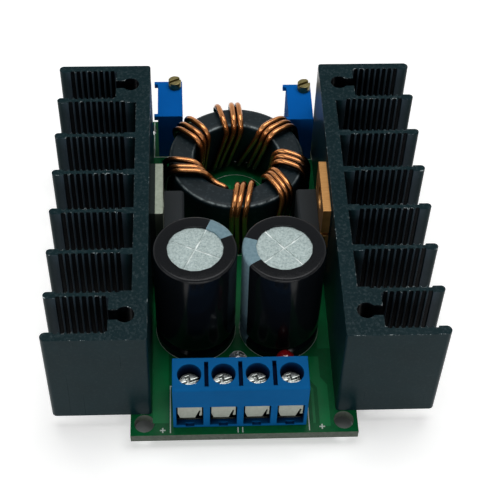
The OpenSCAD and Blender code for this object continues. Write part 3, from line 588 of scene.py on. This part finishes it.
def ring_section(r1, r2, z1, z2, corner, steps):
    """The ring's section, an upright rectangle with round corners, anticlockwise from its lower outer
    corner."""
    a = np.radians(np.linspace(0, 90, steps))
    bends = [(r2 - corner, z1 + corner, a - np.pi / 2), (r2 - corner, z2 - corner, a),
             (r1 + corner, z2 - corner, a + np.pi / 2), (r1 + corner, z1 + corner, a + np.pi)]
    return np.concatenate([arc(r, z, corner, t) for r, z, t in bends])


section = ring_section(core_hole_r, core_r, 0, core_high[2] - core_low[2], core_round, corner_steps)
points, faces = revolve(section, (core_at[0], core_at[1], core_low[2]), core_steps)
# A highlight is painted on the outer edge at the front and on the inner edge at the back, in a band of a
# corner's 90 degrees whose middle and width are given in degrees
highlight_at, highlight_width, highlight_mean, highlight_swing = 50, 9, 0.35, 0.65
highlight_band = np.exp(-((np.linspace(0, 90, corner_steps) - highlight_at) / highlight_width) ** 2)
swing = highlight_swing * np.sin(around(core_steps)[:, None])
outer_highlight = np.maximum(highlight_mean - swing, 0) * highlight_band
inner_highlight = np.maximum(highlight_mean + swing, 0) * highlight_band[::-1]
no_highlight = np.zeros((core_steps, corner_steps))
edge = np.hstack([no_highlight, outer_highlight, inner_highlight, no_highlight])
piece("ring_core", points, faces, core_paint, "core_coating", ["inductor_core"], edge=edge.ravel())

# The winding: where each turn crosses the top of the ring and how far it leans there, in degrees
turn_angles = [198, 145, 92, 40, -11, -46, -86]
turn_leans = [14, 6, -1, 6, 10, 10, 8]
start_angle = 230
# The wire's thickness, its play on the paint, and the step from strand to strand
wire_d, wire_play, strand_step = 1.0, 0.05, 1.12
# How far a turn arches over the top, how far it stands off the ring, and how round its bends are
top_arch, slack, loop_round = 0.4, 0.2, 1.8
wire_off = wire_d / 2 + wire_play
loop_r1, loop_r2 = core_hole_r - wire_off - slack, core_r + wire_off + slack
loop_z1, loop_z2 = core_low[2] - wire_off, core_high[2] + wire_off + slack
board_low, board_high = box_mm("pcb")


def loop_path(steps=9):
    """One turn round the ring's section as radius and height: over the top outwards, then down, under and
    up."""
    quarter = np.radians(np.linspace(0, 90, steps))
    share = np.linspace(0, 1, steps)[1:-1, None]
    r1, r2, z1, z2 = loop_r1 + loop_round, loop_r2 - loop_round, loop_z1 + loop_round, loop_z2 - loop_round

    def bend(r, z, from_angle):
        """A round corner, clockwise."""
        return arc(r, z, loop_round, from_angle - quarter)

    def run(*ends):
        """The places between two ends of a straight run."""
        a, b = np.array(ends)
        return a + (b - a) * share

    over = [bend(r1, z2, np.pi), run((r1, loop_z2), (r2, loop_z2)), bend(r2, z2, np.pi / 2)]
    back = [run((loop_r2, z2), (loop_r2, z1)), bend(r2, z1, 0), run((r2, loop_z1), (r1, loop_z1)),
            bend(r1, z1, -np.pi / 2), run((loop_r1, z1), (loop_r1, z2))]
    return np.concatenate(over), np.concatenate(back)


def even_turn(line):
    """How far along a line each of its points is, by length over radius, from 0 to 1."""
    step = np.linalg.norm(np.diff(line, axis=0), axis=1) * 2 / (line[1:, 0] + line[:-1, 0])
    return np.concatenate([[0], np.cumsum(step) / step.sum()])


def strand_path(side, stray, bulge, fall, lead_turn=0.7, lead_swing=0.6, lead_steps=20, tail_steps=9):
    """A strand's line: round the ring's section at each turn's angle, leaning and arching a little as it
    crosses the top, then on to the next turn. It turns evenly with its length over its radius; side and
    stray, in millimetres, move it along the ring. The lead that starts it falls, turns and swings out by
    bulge degrees, each as a power of its length. The line is then smoothed by a running mean of five
    places."""
    over, back = loop_path()
    t_over, t_back = even_turn(over), even_turn(np.concatenate([over[-1:], back, over[:1]]))[1:-1]
    arched = over + np.stack([0 * t_over, top_arch * np.sin(np.pi * t_over)], -1)
    top, foot = loop_z2 - loop_round, board_low[2]
    inner = [a + lean / 2 for a, lean in zip(turn_angles, turn_leans)]
    outer = [a - lean / 2 for a, lean in zip(turn_angles, turn_leans)]
    down = np.linspace(1, 0, lead_steps, endpoint=False)
    lead_angle = inner[0] + (start_angle - inner[0]) * down ** lead_turn
    lead_angle += bulge * np.sin(np.pi * down ** lead_swing)
    rows = [np.stack([loop_r1 + slack * down, top - (top - foot) * down ** fall, lead_angle,
                      side + (1 - down) * stray[0][0]], -1)]
    for k, (begin, end) in enumerate(stray):
        rows.append(np.column_stack([arched, inner[k] + t_over * (outer[k] - inner[k]),
                                     side + begin + t_over * (end - begin)]))
        if k + 1 < len(stray):
            rows.append(np.column_stack([back, outer[k] + t_back * (inner[k + 1] - outer[k]),
                                         side + end + t_back * (stray[k + 1][0] - end)]))
    t = np.linspace(0, 1, tail_steps + 1)[1:]
    rows.append(np.stack([loop_r2 - slack * t, top + t * (foot - top), np.full(tail_steps, outer[-1]),
                          side + (1 - t) * stray[-1][1]], -1))
    r, z, angle, sideways = np.concatenate(rows).T
    line = np.column_stack([arc(core_at[0], core_at[1], r, np.radians(angle) + sideways / r), z])
    weights = np.array([1, 2, 3, 2, 1]) / 9
    line[2:-2] = sum(w * line[i:len(line) - 4 + i] for i, w in enumerate(weights))
    return line


# How far each strand strays from its place at the inner and the outer end of each turn, as hand winding
# leaves it
strays = [
    [(1.5, -0.5), (0, -0.8), (-0.05, 0.1), (0, 0.05), (0, 0), (0.5, 0.6), (0.55, 0)],
    [(1.5, 0.35), (0.05, 0), (0, 0.05), (0.05, 0), (0, 0.08), (0.3, 0.4), (0.48, -0.35)],
    [(1.5, 0.1), (0.1, 0.15), (0.05, 1.6), (0, 0.1), (0.08, 0), (0.1, 0.3), (0.73, -0.2)],
]
# How far each strand's lead swings out, in degrees, and the power by which it falls
leads = [(0, 1.2), (0, 1.5), (17, 3.0)]
wire_section = arc(0, 0, wire_d / 2, around(14))
for i, side in enumerate((-strand_step, 0, strand_step)):
    path = strand_path(side, strays[i], *leads[i])
    along_ring = np.stack([core_at[1] - path[:, 1], path[:, 0] - core_at[0], 0 * path[:, 0]], -1)
    piece(f"copper_strand_{i + 1}", *sweep(path, wire_section, along_ring), enamel, "enamelled_copper",
          [f"winding_strand_{i + 1}"], smooth=60)


# Capacitors


def sleeve_section(r, height, film=0.3, rim=0.5, opening=4.15, lip=0.05, lip_out=0.04, bead=0.5, bead_z=2.2,
                   bead_w=0.55, bead_from=0.6, bead_to=4.0):
    """The shrunk film's section: up the outside past the pressed bead, a bell curve, round the rim, in over
    the top, and back down the inside one film thickness away."""
    z = np.concatenate([[0.0], np.linspace(bead_from, bead_to, 16), [height / 2]])
    dip = bead * np.exp(-((z - bead_z) / bead_w) ** 2)
    turn = np.radians(np.linspace(0, 90, 8))
    outer = [np.stack([r - dip, z], -1), arc(r - rim, height - rim, rim, turn)]
    edge = [(opening + lip_out, height), (opening, height - lip), (opening, height - film)]
    inner = [arc(r - rim, height - rim, rim - film, turn)[::-1], np.stack([r - film - dip, z], -1)[::-1]]
    return np.concatenate([*outer, edge, *inner])


# The film's cut edge, inside this radius, is wavy: how far, how many waves round, and where they start
wavy_r = 4.5
edge_waves = [(0.03, 3, 1), (0.02, 11, 0), (0.02, 17, 0)]
sleeve_steps = 120
angle = around(sleeve_steps)[:, None]
cut_edge = sum(far * np.sin(count * angle + begin) for far, count, begin in edge_waves)
for side in ("left", "right"):
    low, high = box_mm(f"capacitor_{side}_sleeve")
    at = (low + high) / 2
    section = sleeve_section((high[0] - low[0]) / 2, high[2] - low[2])
    wave = np.where(section[:, 0] < wavy_r, cut_edge, 0)
    film = revolve(section, (at[0], at[1], low[2]), sleeve_steps, wave)
    piece(f"capacitor_film_{side}", *film, node_finish[f"capacitor_{side}_sleeve"], "capacitor_sleeve",
          [f"capacitor_{side}_sleeve"])


# Lamps

lamp_flange_r, lamp_lens_r = 1.9, 1.5


def lamp_profile(height, flange_h=0.9, soft=0.1):
    """A lamp's outline as radius and height: a flange with cut edges, a straight side and a round top."""
    r = lamp_flange_r
    flange = [(r - soft, 0), (r, soft), (r, flange_h - soft), (r - soft, flange_h), (lamp_lens_r, flange_h)]
    turn = np.radians(np.linspace(0, 86, 14))
    return np.concatenate([flange, arc(0, height - lamp_lens_r, lamp_lens_r, turn)])


# The frame inside: a post that flares into a cup, as radius and height, and a bent flat post beside it, as
# a place across and a height, both from the middle of the lamp's foot
cup_profile = [(0.45, 0.3), (0.45, 1.7), (1.05, 2.0), (1.05, 3.0), (0.9, 3.0), (0.35, 2.4)]
post_line = [(1.1, 0.3), (1.1, 1.6), (1.0, 2.6), (1.0, 3.1)]
cup_across, post_w, post_sunk = -0.25, 0.35, 0.17
for kind, epoxy in (("clear", clear_epoxy), ("red", red_epoxy)):
    low, high = box_mm(f"led_{kind}_lens")
    at = np.array([high[0] - lamp_flange_r, (low[1] + high[1]) / 2, low[2]])
    lens = revolve(lamp_profile(high[2] - low[2]), at, 64, closed=False)
    piece(f"lamp_{kind}", *lens, epoxy, f"{kind}_epoxy", [f"led_{kind}_lens"], smooth=35)
    post = at + [(across, 0, up) for across, up in post_line]
    level = np.tile([1.0, 0, 0], (len(post), 1))
    parts = [revolve(cup_profile, at + [cup_across, 0, 0], 24, closed=False),
             sweep(post, strip_profile(post_w, post_w) - [0, post_sunk], level)]
    piece(f"lamp_frame_{kind}", *joined(parts), silvered, "tinned_metal")


# Clamping leaves of the terminal


def clamping_leaf(low, high, thick=0.5, lap=0.05, plate_t=0.8, shoulder=1.2, cut=0.34, flange_up=0.6,
                  flange_w=0.42, slit_up=1.95, slit_foot=1.02, slit_left=0.42, slit_right=0.2):
    """A stamped leaf: a face in the wire opening, with a cut lower corner on the left and a slanted slit
    that leaves a short flange on the right, and a flat plate behind it. Both outlines are carried straight
    back."""
    half = (high[0] - low[0]) / 2
    rise = high[2] - low[2]
    face = [(cut - half, 0), (half - slit_foot, 0), (half - slit_left, slit_up), (half - slit_right, slit_up),
            (half - flange_w, flange_up), (half, flange_up), (half, rise), (-half, rise), (-half, shoulder)]
    plate = np.array([(-half, -thick), (half, -thick), (half, 0), (-half, 0)]) + [0, rise - plate_t]
    middle = (low[0] + high[0]) / 2
    bend = low[1] + thick
    return joined([sweep([(middle, low[1], low[2]), (middle, bend, low[2])], face),
                   sweep([(middle, bend - lap, low[2]), (middle, high[1], low[2])], plate)])


for i in range(1, 5):
    low, high = box_mm(f"terminal_leaf_{i}")
    leaf = piece(f"stamped_leaf_{i}", *clamping_leaf(low, high), leaf_metal, "plated_steel",
                 [f"terminal_leaf_{i}"], f"terminal_leaf_{i}")
    soften(leaf, width=0.025)


# Trimmers


def trimmer_shell(low, high, ledge=0.6, ledge_l=0.65, ledge_h=0.95, foot=0.5, foot_l=1.2, lap=0.02, bore=1.25,
                  bore_r=0.9, bore_deep=6.0, steps=32):
    """A trimmer's housing: a box on two feet, with a thin ledge at both ends of its left side, level with
    its top, and a round bore for the screw. Walls are flat between the corners of the top, the ledges'
    underside and the foot."""
    left, body, right, front, back = low[0], low[0] + ledge, high[0], low[1], high[1]
    bore_x, bore_y = right - bore, back - bore
    plan = np.array([(right, front), (right, back), (bore_x, back), (body, back), (left, back),
                     (left, back - ledge_l), (body, back - ledge_l), (body, front + ledge_l),
                     (left, front + ledge_l), (left, front), (body, front), (bore_x, front)])
    count = len(plan)
    heights = np.repeat([high[2], high[2] - ledge_h, low[2] + foot], count)
    circle = arc(bore_x, bore_y, bore_r, np.pi / 2 + around(steps))
    points = np.concatenate([np.column_stack([np.tile(plan, (3, 1)), heights]),
                             np.column_stack([circle, np.full(steps, high[2] - bore_deep)]),
                             np.column_stack([circle, np.full(steps, high[2])])])
    top, mid, base = np.arange(3 * count).reshape(3, count)
    bore_floor, rim = np.arange(3 * count, 3 * count + 2 * steps).reshape(2, steps)
    half = steps // 2
    # The right, back, left and front walls, the underside, the ledges, the top in two halves, and the
    # bore's floor
    faces = [
        [base[0], base[1], top[1], top[0]],
        [base[1], base[2], base[3], mid[3], top[3], top[2], top[1]],
        [base[3], base[10], mid[10], mid[7], top[7], top[6], mid[6], mid[3]],
        [base[10], base[11], base[0], top[0], top[11], top[10], mid[10]],
        base[[11, 10, 3, 2, 1, 0]],
        *[[mid[k], mid[k + 1], top[k + 1], top[k]] for k in (3, 4, 5, 7, 8, 9)],
        mid[[6, 5, 4, 3]],
        mid[[10, 9, 8, 7]],
        np.concatenate([top[2:], rim[half::-1]]),
        np.concatenate([top[:3], rim[:1], rim[:half - 1:-1], top[11:]]),
        bore_floor,
    ]
    faces = [[int(k) for k in face] for face in faces]
    faces += [[k + 3 * count for k in face] for face in quads(2, steps)]
    feet = [sweep([(body, y, low[2]), (right, y, low[2])], strip_profile(foot_l, foot + lap))
            for y in (front + foot_l / 2, back - foot_l / 2)]
    return joined([(points, faces), *feet])


for side in ("left", "right"):
    low, high = box_mm(f"trimmer_{side}_housing")
    shell = piece(f"trimmer_shell_{side}", *trimmer_shell(low, high), trimmer_blue, "trimmer_blue",
                  [f"trimmer_{side}_housing"])
    soften(shell, width=0.04)


# Board print and tracks

board_top, board_front = board_high[2], board_low[1]
term_low, term_high = box_mm("terminal_housing")
ink_h, track_h = 0.03, 0.025
ink_line, thin_line = strip_profile(0.16, ink_h), strip_profile(0.06, ink_h)
# The second stroke of a sign is a little higher, so that the two don't lie in one plane
sign_lines = strip_profile(0.2, ink_h), strip_profile(0.2, ink_h + 0.002)


def printed(profile, *places):
    """A line on the top of the board through places given as x and y."""
    return sweep([(x, y, board_top) for x, y in places], profile)


def ring_print(profile, centre, radius, steps=72):
    """A circle on the top of the board."""
    return sweep(circle_path(centre, radius, board_top, steps), profile, closed=True)


# An open frame round the terminal, from the board's front edge, and a mark between its middle positions
frame_side, frame_back, frame_front = 0.45, 0.3, 0.4
mark_xs, mark_from, mark_to = (-1.0, -0.3), 0.25, 1.15
x1, x2 = term_low[0] - frame_side, term_high[0] + frame_side
y1, y2 = board_front + frame_front, term_high[1] + frame_back
outlines = [printed(ink_line, (x1, y1), (x1, y2), (x2, y2), (x2, y1))]
outlines += [printed(ink_line, (x, board_front + mark_from), (x, board_front + mark_to)) for x in mark_xs]
# Outlines round the capacitors, trimmers, lamps and ring
can_gap, trimmer_gap, lamp_ring_r, core_rings_r = 0.02, 0.25, 2.1, (5.3, 12.75)
for side in ("left", "right"):
    low, high = box_mm(f"capacitor_{side}_sleeve")
    outlines.append(ring_print(thin_line, (low + high) / 2, (high[0] - low[0]) / 2 + can_gap))
    low, high = box_mm(f"trimmer_{side}_housing")
    x1, x2, y1 = low[0] - trimmer_gap, high[0] + trimmer_gap, low[1] - trimmer_gap
    outlines.append(printed(ink_line, (x1, high[1]), (x1, y1), (x2, y1), (x2, high[1])))
for kind in ("clear", "red"):
    outlines.append(ring_print(ink_line, middle_mm(f"led_{kind}_lens"), lamp_ring_r, 48))
outlines += [ring_print(thin_line, core_at, radius) for radius in core_rings_r]
# Polarity signs beside the outer terminal positions
sign_reach = 0.42
for x, y in ((-12.3, board_front + 0.85), (11.7, board_front + 1.0)):
    outlines.append(printed(sign_lines[0], (x - sign_reach, y), (x + sign_reach, y)))
    outlines.append(printed(sign_lines[1], (x, y - sign_reach), (x, y + sign_reach)))
piece("board_legend", *joined(outlines), ink)

# Copper runs that show through the mask: a width, then the places that the run's middle passes
runs = [
    (1.6, (12.2, -31.5), (12.2, -24.5), (11.2, -23.0), (11.2, -19.0)),
    (0.4, (10.6, -31.0), (10.6, -25.0), (9.9, -24.0), (9.9, -21.5)),
    (2.4, (-12.6, -30.5), (-12.6, -8.0)),
    (2.0, (13.0, -17.5), (13.0, 8.0)),
    (0.5, (-3.0, 27.5), (3.2, 27.5), (5.0, 29.3), (7.5, 29.3)),
    (0.5, (-7.6, 29.8), (-1.5, 29.8), (0.0, 31.2), (8.0, 31.2)),
    (3.2, (-2.2, 10.9), (-2.2, 17.0)),
    (0.5, (2.0, 9.5), (2.0, 14.0), (3.2, 15.2), (3.2, 19.0)),
    (0.5, (4.2, 10.5), (4.2, 17.5)),
    (1.2, (-12.4, 9.0), (-12.4, 21.0)),
]
copper_runs = [printed(strip_profile(width, track_h), *places) for width, *places in runs]
piece("masked_tracks", *joined(copper_runs), tracks)


# Studio

floor_half = 3.0
# The board covers the floor up to this far from its edges, as the eye sees it; there a shadow is painted on
# the floor
cover_inset = np.array([0.0, 2.2, 0])


def mirrors(tree, ray):
    """1 where something is seen in a mirror or through clear matter."""
    return add(tree, "Math", LARGER, i0=ray.outputs["Is Glossy Ray"], i1=ray.outputs["Is Transmission Ray"])


def pale_floor():
    """White card: it shows as white to the eye and in reflections, more so further out, keeps the object's
    shadow round it, and has a painted shadow, a darker colour, beneath the board, which the screw holes show.
    Its fibre is drawn coarser than it is, so that it shows."""
    material, tree, place = start("white_card")
    fibre = add(tree, "TexNoise", Vector=place, Scale=per(3), Detail=3.0)
    white = add(tree, "Mix", MIX, i0=fibre, i6=colour("#e9eae9"), i7=colour("#efefee"))
    ray = add(tree, "LightPath")
    seen = add(tree, "Math", LARGER, i0=ray.outputs["Is Camera Ray"], i1=mirrors(tree, ray))
    out = add(tree, "VectorMath", {"operation": "LENGTH"}, i0=place)
    fade = add(tree, "MapRange", Value=out.outputs["Value"], From_Min=0.1, From_Max=0.6, To_Min=0.45,
               To_Max=0.88)
    middle = add(tree, "Mapping", Vector=place, Location=tuple(-(board_low + board_high) / 2 * MM))
    away = add(tree, "VectorMath", SIZE_OF, i0=middle)
    past = add(tree, "VectorMath", {"operation": "SUBTRACT"}, i0=away,
               i1=tuple(((board_high - board_low) / 2 - cover_inset) * MM))
    axes = add(tree, "SeparateXYZ", Vector=past)
    beyond = add(tree, "Math", LARGER, i0=axes.outputs[0], i1=axes.outputs[1])
    uncovered = add(tree, "MapRange", Value=beyond, From_Min=-0.5 * MM, From_Max=0.0)
    lift = add(tree, "Math", TIMES, i0=fade, i1=uncovered)
    glow = add(tree, "Math", TIMES, i0=seen, i1=lift)
    # A shadow is painted beneath the board as a darker floor colour
    painted_floor_shadow = add(tree, "Mix", MIX, i0=uncovered, i6=colour("#7c7f7f"), i7=white)
    finished(tree, Base_Color=painted_floor_shadow, Roughness=0.9, Emission_Color=(1, 1, 1, 1), Emission_Strength=glow)
    return material


floor_mesh = bpy.data.meshes.new("floor")
floor_corners = floor_half * np.array([(-1, -1, 0), (1, -1, 0), (1, 1, 0), (-1, 1, 0)])
floor_mesh.from_pydata(floor_corners.tolist(), [], [(0, 1, 2, 3)])
floor_mesh.materials.append(pale_floor())
floor = bpy.data.objects.new("floor", floor_mesh)
bpy.context.scene.collection.objects.link(floor)

# The sky is white to the eye, dimmer overhead in reflections, and gives little light of its own
world = bpy.data.worlds.new("studio")
bpy.context.scene.world = world
world.use_nodes = True
sky = world.node_tree
sky.nodes.clear()
ray = add(sky, "LightPath")
height = add(sky, "SeparateXYZ", Vector=add(sky, "TexCoord").outputs["Generated"])
overhead = add(sky, "MapRange", Value=height.outputs[2], From_Min=0.3, From_Max=0.95, To_Min=1.0,
               To_Max=0.35)
shown = add(sky, "Math", TIMES, i0=mirrors(sky, ray), i1=overhead)
seen = add(sky, "Math", LARGER, i0=ray.outputs["Is Camera Ray"], i1=shown)
level = add(sky, "Math", LARGER, i0=seen, i1=0.1)
background = add(sky, "Background", Color=(1, 1, 1, 1), Strength=level)
add(sky, "OutputWorld", Surface=background)


def stand(name, data, right, up, back, place):
    """Puts a lamp or a camera at a place in metres, with its axes along three directions."""
    obj = bpy.data.objects.new(name, data)
    rows = [[*row, p] for row, p in zip(np.stack([right, up, back], 1), place)]
    obj.matrix_world = Matrix(rows + [[0, 0, 0, 1]])
    bpy.context.scene.collection.objects.link(obj)
    return obj


def softbox(name, place, width, height, watts, target=(0, 0, 0.01), ahead=(0, 1, 0.02)):
    """A soft rectangular lamp that faces a point on the object, its width square to the way ahead."""
    lamp = bpy.data.lights.new(name, "AREA")
    lamp.shape, lamp.size, lamp.size_y, lamp.energy = "RECTANGLE", width, height, watts
    back = unit(np.array(place, float) - np.array(target, float))
    right = unit(np.cross(ahead, back))
    stand(name, lamp, right, np.cross(back, right), back, place)


softbox("top_light", (0.03, 0.055, 0.42), width=0.36, height=0.28, watts=1.2)
softbox("front_light", (0.05, -0.55, 0.16), width=0.5, height=0.14, watts=0.95)
softbox("left_light", (-0.35, -0.2, 0.25), width=0.2, height=0.3, watts=0.3)

# The camera stands in front of the terminal and looks down on it; its turn, tilt and roll are in degrees
camera_at = np.array([-7.492, -129.519, 170.042]) * MM
turn, tilt, roll = np.radians([3.441, -51.081, 1.823])
forward = np.array([np.sin(turn) * np.cos(tilt), np.cos(turn) * np.cos(tilt), np.sin(tilt)])
level_right = np.array([np.cos(turn), -np.sin(turn), 0])
level_up = np.cross(level_right, forward)
right = np.cos(roll) * level_right + np.sin(roll) * level_up
up = np.cos(roll) * level_up - np.sin(roll) * level_right
lens = bpy.data.cameras.new("camera")
lens.sensor_width, lens.lens, lens.clip_start = 36, 95.402, 0.005
bpy.context.scene.camera = stand("camera", lens, right, up, -forward, camera_at)
bpy.context.scene.view_settings.view_transform = "Standard"
